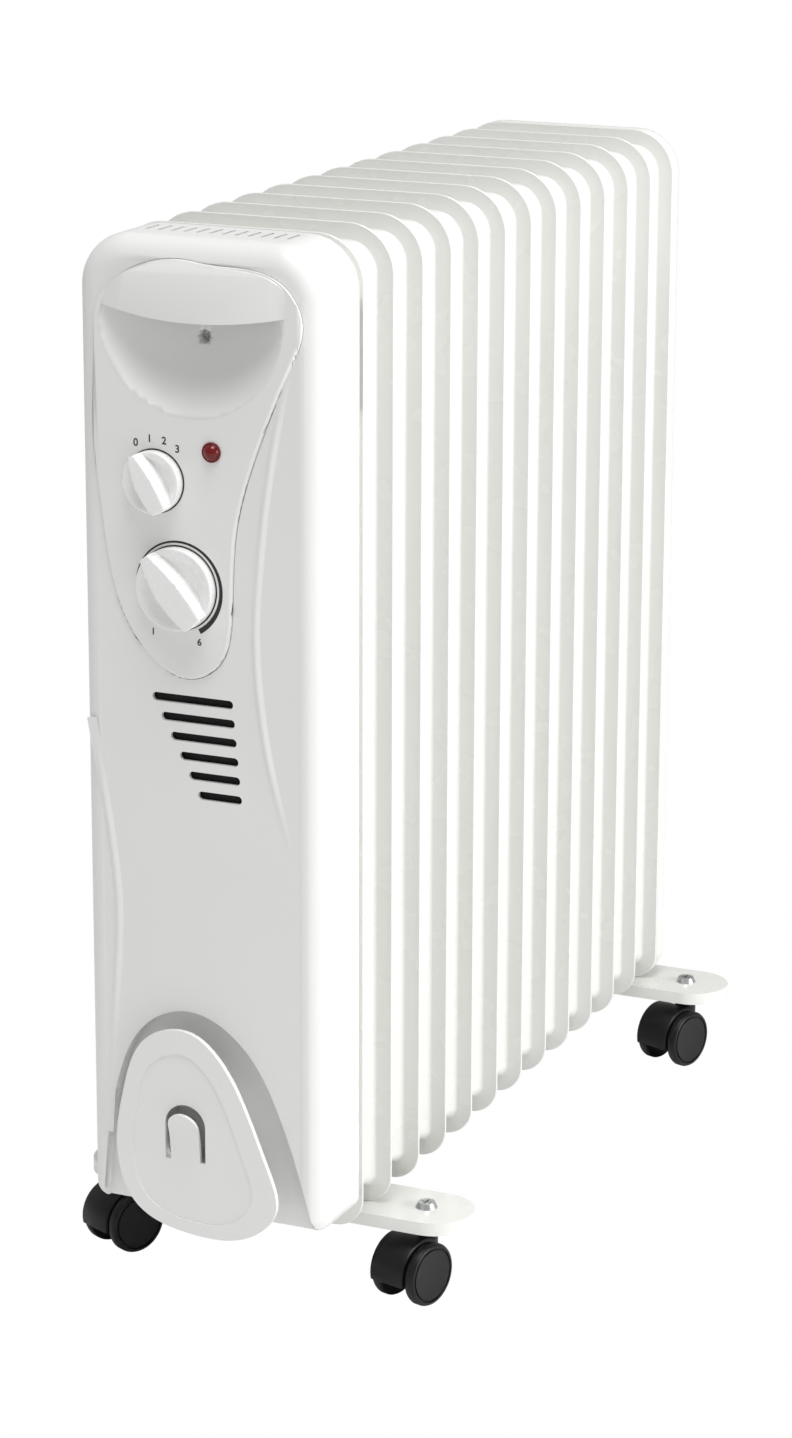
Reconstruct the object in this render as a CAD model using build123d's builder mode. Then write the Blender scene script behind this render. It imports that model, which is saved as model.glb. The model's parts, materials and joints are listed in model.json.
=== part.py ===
from build123d import *
import os
from math import atan, cos, degrees, hypot, radians, sin

# Oil filled radiator heater on casters: a stack of pressed steel fins joined by collectors, a moulded
# control housing with knobs and a cord winder at the front, a rear cover and two caster brackets.
# Millimetres. +X right, +Y to the back, +Z up, z = 0 on the floor, front of the heater at -Y.

os.makedirs("parts", exist_ok=True)

# ---- fin stack ----
fin_count = 13
fin_pitch = 40.0
fin_width = 150.0
fin_height = 580.0
fin_corner = 30.0
fin_ground = 54.0            # floor to the lowest edge of the fins
sheet = 0.8                  # each fin is two pressed sheets, back to back
flange_width = 9.0           # flat welded rim round a fin
channel_rise = 11.0          # mid-plane to the outside of the oil channels
channel_run = 6.0            # sloping flank of a channel, seen from the front
channel_corner = 24.0
groove_width = 26.0          # pressed groove between the two oil channels
groove_depth = 8.0
groove_clear = 46.0          # groove end to collector centre
collector_radius = 21.0
collector_wall = 2.0
neck_sides = 12
bar_sides = 10               # flats round the bent bars
collector_inset = 52.0       # fin edge to collector centre
end_neck = 14.5              # mid-plane to the closed collector ends at both ends of the stack
end_cap_thickness = 1.6

# ---- heating element ----
element_tube_radius = 4.2
element_leg_offset = 9.0     # each leg to the collector axis
element_tail = 24.0
element_stub = 16.0          # cold ends inside the housing
element_flange_thickness = 3.0
element_hex = 34.0
element_hex_height = 7.0

# ---- housing ----
housing_depth = 49.0
housing_gap = 6.0            # rear rim of the housing to the mid-plane of the first fin
housing_wall = 2.5
housing_lift = 15.0          # lowest edge of the fins to the bottom of the housing
front_round = 14.0           # rounded edge between the front and the sides and top
bottom_round = 8.0
relief_width = fin_width - 2 * flange_width + 2.0
relief_gap = 0.5             # housing floor to the channel of the first fin
shield_sheet = 1.0
shield_set = 14.0            # shield plate to the mid-plane of the first fin
shield_corner = 11.0         # its two lower corners
shield_slot_length = 62.0
shield_slot_height = 4.6
shield_slot_drop = 66.0      # fin top to the middle of the side slots
shield_clearance = 2.0       # round the collector ends

# ---- control panel, handle lip and dish ----
panel_proud = 2.0
panel_lip = 3.0
panel_lip_thickness = 1.5
panel_gap = 0.3
dish_x = -3.0
dish_drop = 41.0             # fin top to the middle of the dish
dish_radius = 57.0
dish_depth = 20.0
dish_wall = 2.5
lip_proud = 8.5
lip_crown = 240.0            # plan radius of the handle's front
lip_roll = 64.0              # radius of its front seen from the side
lip_roll_drop = 40.0         # fin top to its foremost line
screw_boss_radius = 5.5
screw_well_radius = 3.6
screw_well_depth = 6.0
screw_drop = 14.0            # dish middle to the panel screw
screw_head_radius = 3.2
screw_head_height = 2.0
screw_cross_length = 3.6
screw_cross_width = 0.9

# The panel's edge as (x, drop from the fin top), counter-clockwise from the top.
panel_edge = [(0, 11.7), (-38, 17), (-57, 32), (-62, 62), (-63.5, 105), (-59, 158), (-49, 205), (-30, 234),
              (-6, 245), (13, 235), (21, 205), (24.5, 155), (37, 113), (56, 68), (64, 40), (53, 21)]
lip_inset = 1.0
lip_tail_drop = 36.0         # fin top to the pointed ends of the handle
lip_tail_x = 66.0
lip_edge_drop = 44.0

# ---- knobs, lamp ----
thermostat_drop = 193.0      # fin top to the thermostat shaft
thermostat_x = -11.5
thermostat_knob_radius = 23.5
switch_drop = 134.0
switch_x = -25.0
switch_knob_radius = 17.5
switch_off_angle = -29.5     # grip direction from straight up, clockwise seen from the front
thermostat_rest_angle = -40.0
knob_gap = 0.5
knob_height = 14.0
knob_skirt = 6.0
grip_width = 0.56            # of the knob radius
knob_rim = 2.4
knob_dish = 2.6
knob_crown = 3.0             # left over the end of the shaft
knob_bevel = 1.2
knob_taper = 0.8
shaft_radius = 3.0
shaft_clearance = 0.05
bush_radius = 4.8
bush_clearance = 0.2
lamp_x = 10.0
lamp_drop = 115.0
lens_radius = 4.6
lens_rim = 5.6
lens_dome = 3.0
lens_flange = 1.0
lamp_length = 16.0
switch_body_width = 30.0
switch_body_depth = 22.0
thermostat_body_width = 34.0
thermostat_body_height = 44.0
thermostat_body_depth = 20.0
terminal_length = 7.0
cutout_drop = 60.0
block_x = 34.0
block_rise = 44.0

# ---- vents ----
vent_count = 6
vent_pitch = 10.9
vent_height = 5.0
vent_first_drop = 257.2
vent_left_first = -29.5
vent_left_step = 5.6
vent_right_first = 20.8
vent_right_step = 1.0
slit_count = 12
slit_pitch = 7.8
slit_width = 2.2
slit_length = 16.0
slit_back = 16.0             # rear rim to the middle of the slits

# ---- cord winder ----
well_depth = 10.0
# The winder well's arch as (x, height over the housing's bottom), counter-clockwise from its right foot.
well_edge = [(69, 0), (61, 32), (46, 74), (30, 102), (-10, 124), (-38, 111), (-53, 83), (-62, 40), (-66, 0)]
winder_stand = 13.0          # plate face ahead of the housing front
winder_thickness = 3.2
winder_hub_radius = 24.0
winder_hub_wall = 2.5
winder_hub_height = 55.0     # housing bottom to the hub centre
hook_x = -5.7
hook_width = 18.5
hook_slit = 3.5
hook_foot_height = 53.0      # fins' lower edge to the root of the cord hook
hook_top_height = 87.0       # and to the top of the opening around it
hook_out = 9.0               # its tip ahead of the plate
# The winder plate's edge as (x, height over the fins' lower edge), counter-clockwise from the top.
winder_edge = [(-12, 131.5), (-33, 121), (-45, 90), (-49, 50), (-37, 22), (0, 9), (35, 13.5), (51.5, 31),
               (46, 57), (32, 91), (12, 122)]
winder_middle = (1, 70)      # the plate's inner field is its outline shrunk about this point
winder_field_width = 0.75
winder_field_height = 0.82
winder_field_shift = (-2.5, -3)
winder_inset = 0.8
gland_radius = 6.0
gland_bore_radius = 3.75
gland_flange = 2.0
foot_screw_x = 48.0          # the two screws that hold the housing to the shield
foot_screw_radius = 2.2
foot_tab = 12.0              # the shield's lower edge, turned forwards for the screws

# ---- rear cover ----
cover_depth = 19.0
cover_sheet = 1.0
cover_round = 10.0

# ---- brackets and casters ----
bracket_length = 248.0
bracket_width = 48.0
bracket_depth = 8.0
bracket_sheet = 2.0
bracket_out = 26.0           # U-bolt back to the centre line of its bracket
tongue_width = 84.0
bolt_radius = 3.0
bolt_gap = 0.4               # inside of a U-bolt to the collector neck
bolt_tail = 4.0
tongue_tail = 12.0           # U-bolt to the free edge of the tongue
nut_radius = 5.0
nut_height = 6.0
nut_wing_set = 2.0
nut_wing_span = 22.0
nut_wing_sheet = 2.0
stem_spacing = 190.0
stem_radius = 4.0
stem_play = 0.06
trail = 13.0                 # stem axis to axle
wheel_radius = 19.0
wheel_width = 6.6
wheel_gap = 0.4
hood_width = 18.0
hood_radius = 19.6
hood_wall = 1.9
hood_top_gap = 6.0           # bracket to the top of the swivel socket
hood_front_height = 8.0      # floor to the hood's skirt, on the trailing side
hood_back_height = 25.0
socket_radius = 7.0
socket_depth = 18.0
stem_head_radius = 6.6
stem_head_height = 3.2
stem_cross_depth = 1.0
axle_radius = 2.5
axle_play = 0.05
# Axle direction from +X of each caster as stored: front left, front right, rear left, rear right.
caster_turns = (-26.0, -16.0, -16.0, -18.0)

# ---- worked out ----
stack_length = (fin_count - 1) * fin_pitch
front_reach = housing_gap + housing_depth + panel_proud + knob_gap + knob_height
rear_reach = bracket_out - fin_pitch / 2 + bracket_width / 2
first_y = (front_reach - rear_reach - stack_length) / 2
last_y = first_y + stack_length
fin_top = fin_ground + fin_height
fin_mid = fin_ground + fin_height / 2
top_collector = fin_top - collector_inset
low_collector = fin_ground + collector_inset
housing_back = first_y - housing_gap
housing_front = housing_back - housing_depth
housing_bottom = fin_ground + housing_lift
panel_face = housing_front - panel_proud
panel_back = housing_front + housing_wall + panel_lip_thickness
shield_face = first_y - shield_set
gland_y = housing_front + well_depth + housing_wall + gland_radius + gland_flange + 4.0
foot_screw_y = shield_face - foot_tab / 2
hook_foot = fin_ground + hook_foot_height
hook_top = fin_ground + hook_top_height


def upright(y):
    """Vertical sketch plane at y, facing the front: sketch x is X, sketch y is Z."""
    return Plane.XZ.offset(-y)


def save(node, name):
    node.part.label = name
    export_step(node.part, f"parts/{name}.step")


# ================= fins =================
def pressed_corners(outline, size):
    """Turn a sketch's corners into three flats each, the way the channel edge is pressed."""
    chamfer(outline.vertices(), size * 0.6)
    chamfer(outline.vertices(), size * 0.2)


def make_fin(number):
    y = first_y + (number - 1) * fin_pitch
    flank = degrees(atan(channel_run / channel_rise))
    back_neck = end_neck if number == fin_count else fin_pitch - channel_rise
    with BuildPart() as fin:
        with BuildSketch(upright(y + sheet)):
            with Locations((0, fin_mid)):
                RectangleRounded(fin_width, fin_height, fin_corner)
        extrude(amount=2 * sheet)
        with BuildSketch(upright(y)) as channels:
            with Locations((0, fin_mid)):
                Rectangle(fin_width - 2 * flange_width, fin_height - 2 * flange_width)
            pressed_corners(channels, channel_corner)
        extrude(amount=channel_rise, both=True, taper=flank)
        for side in (-1, 1):
            with BuildSketch(upright(y - side * channel_rise)) as groove:
                with Locations((0, fin_mid)):
                    Rectangle(groove_width, fin_height - 2 * collector_inset - 2 * groove_clear)
                pressed_corners(groove, groove_width / 2)
            extrude(amount=-side * groove_depth, taper=flank, mode=Mode.SUBTRACT)
        with BuildSketch(upright(y + back_neck)):
            with Locations((0, top_collector), (0, low_collector)):
                RegularPolygon(collector_radius, neck_sides)
        extrude(amount=back_neck)
        if number == 1:
            with BuildSketch(upright(y)):
                with Locations((0, top_collector), (0, low_collector)):
                    RegularPolygon(collector_radius, neck_sides)
            extrude(amount=end_neck)
        with BuildSketch(upright(y + fin_pitch)):
            with Locations((0, low_collector)):
                RegularPolygon(collector_radius - collector_wall, neck_sides)
        extrude(amount=2 * fin_pitch, mode=Mode.SUBTRACT)
    return fin


for number in range(1, fin_count + 1):
    save(make_fin(number), f"fin_{number:02d}")

# Welded discs close the collector ends; the lower front one carries the heating element instead.
with BuildPart() as collector_caps:
    with BuildSketch(upright(first_y - end_neck)):
        with Locations((0, top_collector)):
            RegularPolygon(collector_radius, neck_sides)
    extrude(amount=end_cap_thickness)
    with BuildSketch(upright(last_y + end_neck + end_cap_thickness)):
        with Locations((0, top_collector), (0, low_collector)):
            RegularPolygon(collector_radius, neck_sides)
    extrude(amount=end_cap_thickness)
save(collector_caps, "collector_caps")

# ================= heating element =================
flange_face = first_y - end_neck - element_flange_thickness
leg_end = last_y - collector_radius - element_tail
with BuildPart() as heating_element:
    with BuildSketch(upright(leg_end)):
        with Locations((-element_leg_offset, low_collector), (element_leg_offset, low_collector)):
            RegularPolygon(element_tube_radius, bar_sides)
    extrude(amount=leg_end - flange_face + element_stub)
    with BuildSketch(upright(leg_end)):
        with Locations((element_leg_offset, low_collector)):
            RegularPolygon(element_tube_radius, bar_sides)
    revolve(axis=Axis((0, leg_end, low_collector), (0, 0, 1)), revolution_arc=180)
save(heating_element, "heating_element")

with BuildPart() as element_flange:
    with BuildSketch(upright(first_y - end_neck)):
        with Locations((0, low_collector)):
            Circle(collector_radius)
    extrude(amount=element_flange_thickness)
    with BuildSketch(upright(flange_face)):
        with Locations((0, low_collector)):
            RegularPolygon(element_hex / 2, 6, major_radius=False)
    extrude(amount=element_hex_height)
    with BuildSketch(upright(first_y)):
        with Locations((-element_leg_offset, low_collector), (element_leg_offset, low_collector)):
            Circle(element_tube_radius)
    extrude(amount=housing_depth, mode=Mode.SUBTRACT)
save(element_flange, "element_flange")


# ================= housing =================
def housing_block(grow, inside=False):
    """The housing's form, grown outwards all round; inside, flat bevels stand in for the roundings."""
    width = fin_width + 2 * grow
    height = fin_top - housing_bottom + 2 * grow
    with BuildPart() as block:
        with BuildSketch(upright(housing_back)) as outline:
            with Locations((0, (fin_top + housing_bottom) / 2)):
                Rectangle(width, height)
            fillet(outline.vertices().group_by(Axis.Y)[-1], fin_corner + grow)
        extrude(amount=housing_depth + grow)
        ease = chamfer if inside else fillet
        front_edges = block.faces().sort_by(Axis.Y)[0].edges()
        ease(front_edges.sort_by(Axis.Z)[1:], front_round + grow)
        under_edges = block.faces().sort_by(Axis.Z)[0].edges()
        ease(under_edges.sort_by(Axis.Y)[:-1], bottom_round + grow)
    return block.part


def arch(grow):
    """Arched outline of the winder well, grown outwards all round, open through the housing's bottom."""
    wide = 1 + grow / well_edge[0][0]
    tall = 1 + grow / well_edge[len(well_edge) // 2][1]
    foot = housing_bottom - housing_wall
    rim = [(x * wide, housing_bottom + height * tall) for x, height in well_edge]
    with BuildSketch() as outline:
        with BuildLine():
            Spline(*rim)
            Polyline(rim[-1], (rim[-1][0], foot), (rim[0][0], foot), rim[0])
        make_face()
    return outline.sketch


def panel_outline(grow):
    """Shield outline of the control panel, wide over the handle and drawn in to a tip below."""
    rim = [(x, fin_top - drop) for x, drop in panel_edge]
    moved = []
    for before, here, after in zip(rim[-1:] + rim[:-1], rim, rim[1:] + rim[:1]):
        run = after[0] - before[0]
        rise = after[1] - before[1]
        step = grow / hypot(run, rise)
        moved.append((here[0] + step * rise, here[1] - step * run))
    with BuildSketch() as outline:
        with BuildLine():
            Spline(*moved, periodic=True)
        make_face()
    return outline.sketch


def lip_outline():
    """The part of the panel's outline above the bowed lower edge of the handle lip."""
    left = (-lip_tail_x, fin_top - lip_tail_drop)
    right = (lip_tail_x, fin_top - lip_tail_drop)
    with BuildSketch() as outline:
        add(panel_outline(-lip_inset))
        with BuildLine():
            Polyline(right, (lip_tail_x, fin_top), (-lip_tail_x, fin_top), left)
            ThreePointArc(left, (0, fin_top - lip_edge_drop), right)
        make_face(mode=Mode.INTERSECT)
    return outline.sketch


with BuildPart() as well_backing:
    with BuildSketch(upright(housing_front + well_depth + housing_wall)):
        add(arch(housing_wall))
    extrude(amount=well_depth + housing_wall)
    add(housing_block(0), mode=Mode.INTERSECT)

with BuildPart() as housing:
    add(housing_block(0))
    add(housing_block(-housing_wall, inside=True), mode=Mode.SUBTRACT)
    add(well_backing.part)
    with BuildSketch(upright(housing_front + well_depth)):
        add(arch(0))
    extrude(amount=well_depth + housing_wall, mode=Mode.SUBTRACT)
    with BuildSketch(upright(housing_front + housing_wall + front_round)):
        add(panel_outline(panel_gap))
    extrude(amount=front_round + 2 * housing_wall, mode=Mode.SUBTRACT)
    with BuildSketch(upright(housing_front + 2 * housing_wall)):
        for row in range(vent_count):
            left = vent_left_first + row * vent_left_step
            right = vent_right_first + row * vent_right_step
            with Locations(((left + right) / 2, fin_top - vent_first_drop - row * vent_pitch)):
                SlotOverall(right - left, vent_height)
    extrude(amount=4 * housing_wall, mode=Mode.SUBTRACT)
    with BuildSketch(Plane.XY.offset(fin_top + housing_wall)):
        with Locations((0, housing_back - slit_back)):
            with GridLocations(slit_pitch, 0, slit_count, 1):
                Rectangle(slit_width, slit_length)
    extrude(amount=-3 * housing_wall, mode=Mode.SUBTRACT)
    with BuildSketch(Plane.XY.offset(housing_bottom - housing_wall)):
        with Locations((0, gland_y)):
            Circle(gland_radius)
        with Locations((-foot_screw_x, foot_screw_y), (foot_screw_x, foot_screw_y)):
            Circle(foot_screw_radius)
    extrude(amount=3 * housing_wall, mode=Mode.SUBTRACT)
    with BuildSketch(upright(housing_back)):
        with Locations((0, housing_bottom)):
            Rectangle(relief_width, 2 * housing_wall + bottom_round)
    extrude(amount=channel_rise + relief_gap - housing_gap, mode=Mode.SUBTRACT)
save(housing, "housing")

# Pressed heat shield: a shallow pan between the fins and the housing, with air slots in its sides.
with BuildPart() as heat_shield:
    with BuildSketch(upright(first_y - sheet)) as rim:
        with Locations((0, (fin_top + housing_bottom) / 2)):
            Rectangle(fin_width - 2 * housing_wall, fin_top - housing_bottom - 2 * housing_wall)
        fillet(rim.vertices().group_by(Axis.Y)[-1], fin_corner - housing_wall)
        fillet(rim.vertices().group_by(Axis.Y)[0], shield_corner)
    extrude(amount=shield_set - sheet)
    with BuildSketch(upright(first_y - sheet)):
        offset(rim.sketch, amount=-shield_sheet)
        with Locations((0, housing_bottom)):
            Rectangle(relief_width, 2 * housing_wall + 2 * shield_sheet + bottom_round)
    extrude(amount=shield_set - sheet - shield_sheet, mode=Mode.SUBTRACT)
    with BuildSketch(upright(first_y)):
        with Locations((0, top_collector), (0, low_collector)):
            RegularPolygon(collector_radius + shield_clearance, neck_sides)
    extrude(amount=2 * shield_set, mode=Mode.SUBTRACT)
    with BuildSketch(Plane.YZ.offset(-fin_width)):
        with Locations((first_y - sheet - housing_gap / 2, fin_top - shield_slot_drop)):
            Rectangle(shield_slot_height, shield_slot_length)
    extrude(amount=2 * fin_width, mode=Mode.SUBTRACT)
    with BuildSketch(Plane.XY.offset(housing_bottom + housing_wall)):
        with Locations((-foot_screw_x, foot_screw_y), (foot_screw_x, foot_screw_y)):
            Rectangle(foot_tab, foot_tab)
            Circle(foot_screw_radius, mode=Mode.SUBTRACT)
    extrude(amount=shield_sheet)
save(heat_shield, "heat_shield")

with BuildPart() as housing_screws:
    for side in (-1, 1):
        with BuildSketch(Plane.XY.offset(housing_bottom)):
            with Locations((side * foot_screw_x, foot_screw_y)):
                Circle(foot_screw_radius)
        extrude(amount=housing_wall + shield_sheet)
        with BuildSketch(Plane.XY.offset(housing_bottom)):
            with Locations((side * foot_screw_x, foot_screw_y)):
                Circle(2 * foot_screw_radius)
        extrude(amount=-foot_screw_radius, taper=15)
save(housing_screws, "housing_screws")

# ================= control panel =================
with BuildPart() as panel_skin:
    add(housing_block(panel_proud))
    add(housing_block(-housing_wall - panel_lip_thickness, inside=True), mode=Mode.SUBTRACT)

with BuildPart() as lip_skin:
    add(housing_block(-housing_wall, inside=True))
    add(housing_block(-housing_wall - panel_lip_thickness, inside=True), mode=Mode.SUBTRACT)
    with BuildSketch(upright(housing_front + front_round)):
        add(panel_outline(panel_lip))
    extrude(amount=2 * front_round, mode=Mode.INTERSECT)

# Spherical hollow behind the handle lip, and the cup that forms its wall inside the housing.
dish_z = fin_top - dish_drop
dish_sphere = (dish_radius**2 + dish_depth**2) / (2 * dish_depth)
dish_bottom = panel_face + dish_depth
dish_axis = Axis((dish_x, 0, dish_z), (0, 1, 0))
dish_section = Plane(origin=(dish_x, 0, dish_z), x_dir=(1, 0, 0), z_dir=(0, 0, 1))

with BuildPart() as dish_hollow:
    with Locations((dish_x, dish_bottom - dish_sphere, dish_z)):
        Sphere(dish_sphere)
    with BuildSketch(upright(dish_bottom)):
        with Locations((dish_x, dish_z)):
            Circle(dish_radius)
    extrude(amount=dish_depth + lip_proud, mode=Mode.INTERSECT)
    with BuildSketch(upright(dish_bottom)):
        add(panel_outline(-dish_wall))
    extrude(amount=2 * dish_depth, mode=Mode.INTERSECT)

with BuildPart() as dish_cup:
    with BuildSketch(dish_section):
        with BuildLine():
            Polyline((0, panel_face + panel_lip_thickness),
                     (dish_radius + dish_wall, panel_face + panel_lip_thickness),
                     (dish_radius + dish_wall, panel_back), (dish_radius * 0.45, dish_bottom + dish_wall),
                     (0, dish_bottom + dish_wall), close=True)
        make_face()
    revolve(axis=dish_axis)
    with BuildSketch(upright(dish_bottom + dish_wall)):
        add(panel_outline(-panel_gap))
    extrude(amount=2 * dish_depth, mode=Mode.INTERSECT)

with BuildPart() as handle_lip:
    with BuildSketch(upright(housing_front + front_round)):
        add(lip_outline())
    extrude(amount=2 * front_round)
    with BuildSketch(Plane.XY.offset(housing_bottom)):
        with Locations((0, housing_front - lip_proud + lip_crown)):
            Circle(lip_crown)
    extrude(amount=fin_top, mode=Mode.INTERSECT)
    with BuildSketch(Plane.YZ.offset(-fin_width)):
        with Locations((housing_front - lip_proud + lip_roll, fin_top - lip_roll_drop)):
            Circle(lip_roll)
    extrude(amount=2 * fin_width, mode=Mode.INTERSECT)
    add(housing_block(0), mode=Mode.SUBTRACT)

with BuildPart() as control_panel:
    with BuildSketch(upright(housing_front + front_round)):
        add(panel_outline(0))
    extrude(amount=2 * front_round)
    add(panel_skin.part, mode=Mode.INTERSECT)
    add(lip_skin.part)
    add(dish_cup.part)
    add(dish_hollow.part, mode=Mode.SUBTRACT)
    add(handle_lip.part)
    with BuildSketch(upright(dish_bottom + screw_well_depth + dish_wall)):
        with Locations((dish_x, dish_z - screw_drop)):
            Circle(screw_boss_radius)
    extrude(amount=screw_well_depth + dish_wall)
    with BuildSketch(upright(dish_bottom + screw_well_depth)):
        with Locations((dish_x, dish_z - screw_drop)):
            Circle(screw_well_radius)
    extrude(amount=screw_well_depth + dish_wall, mode=Mode.SUBTRACT)
    with BuildSketch(upright(panel_back)):
        with Locations((switch_x, fin_top - switch_drop), (thermostat_x, fin_top - thermostat_drop)):
            Circle(bush_radius + bush_clearance)
    extrude(amount=2 * (panel_back - panel_face), mode=Mode.SUBTRACT)
    with BuildSketch(upright(panel_back)):
        with Locations((lamp_x, fin_top - lamp_drop)):
            Circle(lens_radius)
    extrude(amount=2 * (panel_back - panel_face), mode=Mode.SUBTRACT)
save(control_panel, "control_panel")

with BuildPart() as panel_screw:
    head_y = dish_bottom + screw_well_depth
    with BuildSketch(upright(head_y)):
        with Locations((dish_x, dish_z - screw_drop)):
            Circle(screw_head_radius)
    extrude(amount=screw_head_height)
    with BuildSketch(upright(head_y - screw_head_height)):
        with Locations((dish_x, dish_z - screw_drop)):
            Rectangle(screw_cross_length, screw_cross_width)
            Rectangle(screw_cross_width, screw_cross_length)
    extrude(amount=-screw_head_height / 2, mode=Mode.SUBTRACT)
save(panel_screw, "panel_screw")

lens_sphere = (lens_radius**2 + lens_dome**2) / (2 * lens_dome)
with BuildPart() as indicator_lens:
    rim_face = panel_face - lens_flange
    with BuildSketch(Plane(origin=(lamp_x, 0, fin_top - lamp_drop), x_dir=(1, 0, 0), z_dir=(0, 0, 1))):
        with BuildLine():
            Polyline((0, rim_face - lens_dome), (0, panel_back), (lens_radius, panel_back),
                     (lens_radius, panel_face), (lens_rim, panel_face), (lens_rim, rim_face),
                     (lens_radius, rim_face))
            RadiusArc((lens_radius, rim_face), (0, rim_face - lens_dome), lens_sphere)
        make_face()
    revolve(axis=Axis((lamp_x, 0, fin_top - lamp_drop), (0, 1, 0)))
save(indicator_lens, "indicator_lens")

with BuildPart() as neon_lamp:
    with BuildSketch(upright(panel_back + lamp_length)):
        with Locations((lamp_x, fin_top - lamp_drop)):
            Circle(lens_radius - 1)
    extrude(amount=lamp_length)
save(neon_lamp, "neon_lamp")


# ================= switch and thermostat =================
def control_body(x, z, width, height, depth):
    """Switch or thermostat behind the panel, with the bush its shaft turns in."""
    with BuildPart() as control:
        with BuildSketch(upright(panel_back + depth)):
            with Locations((x, z)):
                RectangleRounded(width, height, 2)
        extrude(amount=depth)
        with BuildSketch(upright(panel_back)):
            with Locations((x, z)):
                Circle(bush_radius)
        extrude(amount=panel_back - panel_face)
        with BuildSketch(upright(panel_back + depth / 2)):
            with Locations((x, z)):
                Circle(shaft_radius + shaft_clearance)
        extrude(amount=depth, mode=Mode.SUBTRACT)
        terminals = [(x - width / 4, z), (x + width / 4, z)]
        with BuildSketch(upright(panel_back + depth + terminal_length)):
            with Locations(*terminals):
                Rectangle(1, 6)
        extrude(amount=terminal_length)
    return control


def knob(x, z, radius, angle):
    """Round knob with a raised grip bar across dished cheeks; its shaft seats in a blind hub hole."""
    back = panel_face - knob_gap
    turn = radians(angle)
    face = Plane(origin=(x, back, z), x_dir=(cos(turn), 0, -sin(turn)), z_dir=(0, -1, 0))
    with BuildPart() as turned:
        with BuildSketch(face):
            Circle(radius)
        extrude(amount=knob_skirt, taper=3)
        with BuildSketch(face.offset(knob_skirt)):
            Circle(radius - knob_rim)
        extrude(amount=-knob_dish, mode=Mode.SUBTRACT)
        with BuildSketch(face):
            Rectangle(radius * grip_width, 2 * radius)
            Circle(radius - knob_taper, mode=Mode.INTERSECT)
        extrude(amount=knob_height)
        chamfer(turned.faces().sort_by(Axis.Y)[0].edges(), knob_bevel)
        with BuildSketch(face):
            Circle(shaft_radius)
        extrude(amount=knob_height - knob_crown, mode=Mode.SUBTRACT)
    return turned


def shaft(x, z, depth):
    with BuildPart() as rod:
        with BuildSketch(upright(panel_back + depth / 2 - 1)):
            with Locations((x, z)):
                Circle(shaft_radius)
        extrude(amount=panel_back + depth / 2 - 1 - panel_face + knob_gap + knob_height - knob_crown)
    return rod


switch_z = fin_top - switch_drop
thermostat_z = fin_top - thermostat_drop
save(control_body(switch_x, switch_z, switch_body_width, switch_body_width, switch_body_depth), "switch_body")
save(shaft(switch_x, switch_z, switch_body_depth), "switch_shaft")
save(knob(switch_x, switch_z, switch_knob_radius, switch_off_angle), "switch_knob")
save(control_body(thermostat_x, thermostat_z, thermostat_body_width, thermostat_body_height,
                  thermostat_body_depth), "thermostat_body")
save(shaft(thermostat_x, thermostat_z, thermostat_body_depth), "thermostat_shaft")
save(knob(thermostat_x, thermostat_z, thermostat_knob_radius, thermostat_rest_angle), "thermostat_knob")

# Overheat cut-out and wiring block, both fixed to the front of the shield.
with BuildPart() as thermal_cutout:
    with BuildSketch(upright(shield_face)):
        with Locations((0, top_collector - cutout_drop)):
            RectangleRounded(26, 12, 2)
    extrude(amount=1)
    with BuildSketch(upright(shield_face - 1)):
        with Locations((0, top_collector - cutout_drop)):
            Circle(8)
    extrude(amount=7)
save(thermal_cutout, "thermal_cutout")

with BuildPart() as terminal_block:
    with BuildSketch(upright(shield_face)):
        with Locations((block_x, low_collector + block_rise)):
            Rectangle(34, 18)
    extrude(amount=12)
    with BuildSketch(upright(shield_face - 12)):
        with Locations((block_x, low_collector + block_rise)):
            with GridLocations(11, 9, 3, 2):
                Rectangle(4.5, 4.5)
    extrude(amount=-6, mode=Mode.SUBTRACT)
save(terminal_block, "terminal_block")

# ================= cord winder =================
hub_z = housing_bottom + winder_hub_height
plate_back = housing_front - winder_stand + winder_thickness
well_floor = housing_front + well_depth


def winder_outline(wide, tall, shift=(0, 0)):
    """Egg-shaped outline of the winder plate, scaled about its middle and shifted."""
    mid_x, mid_height = winder_middle
    rim = [(mid_x + (x - mid_x) * wide + shift[0],
            fin_ground + mid_height + (height - mid_height) * tall + shift[1])
           for x, height in winder_edge]
    with BuildSketch() as outline:
        with BuildLine():
            Spline(*rim, periodic=True)
        make_face()
    return outline.sketch


def hook_outline(grow):
    """Round-topped outline of the cord hook, grown sideways and upwards."""
    half = hook_width / 2 + grow
    shoulder = hook_top - hook_slit - hook_width / 2
    with BuildSketch() as outline:
        with BuildLine():
            Polyline((hook_x - half, shoulder), (hook_x - half, hook_foot), (hook_x + half, hook_foot),
                     (hook_x + half, shoulder))
            RadiusArc((hook_x + half, shoulder), (hook_x - half, shoulder), -half)
        make_face()
    return outline.sketch


with BuildPart() as winder_hub:
    with BuildSketch(upright(well_floor)):
        with Locations((0, hub_z)):
            Circle(winder_hub_radius)
            Circle(winder_hub_radius - winder_hub_wall, mode=Mode.SUBTRACT)
    extrude(amount=well_floor - plate_back)
save(winder_hub, "winder_hub")

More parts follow.
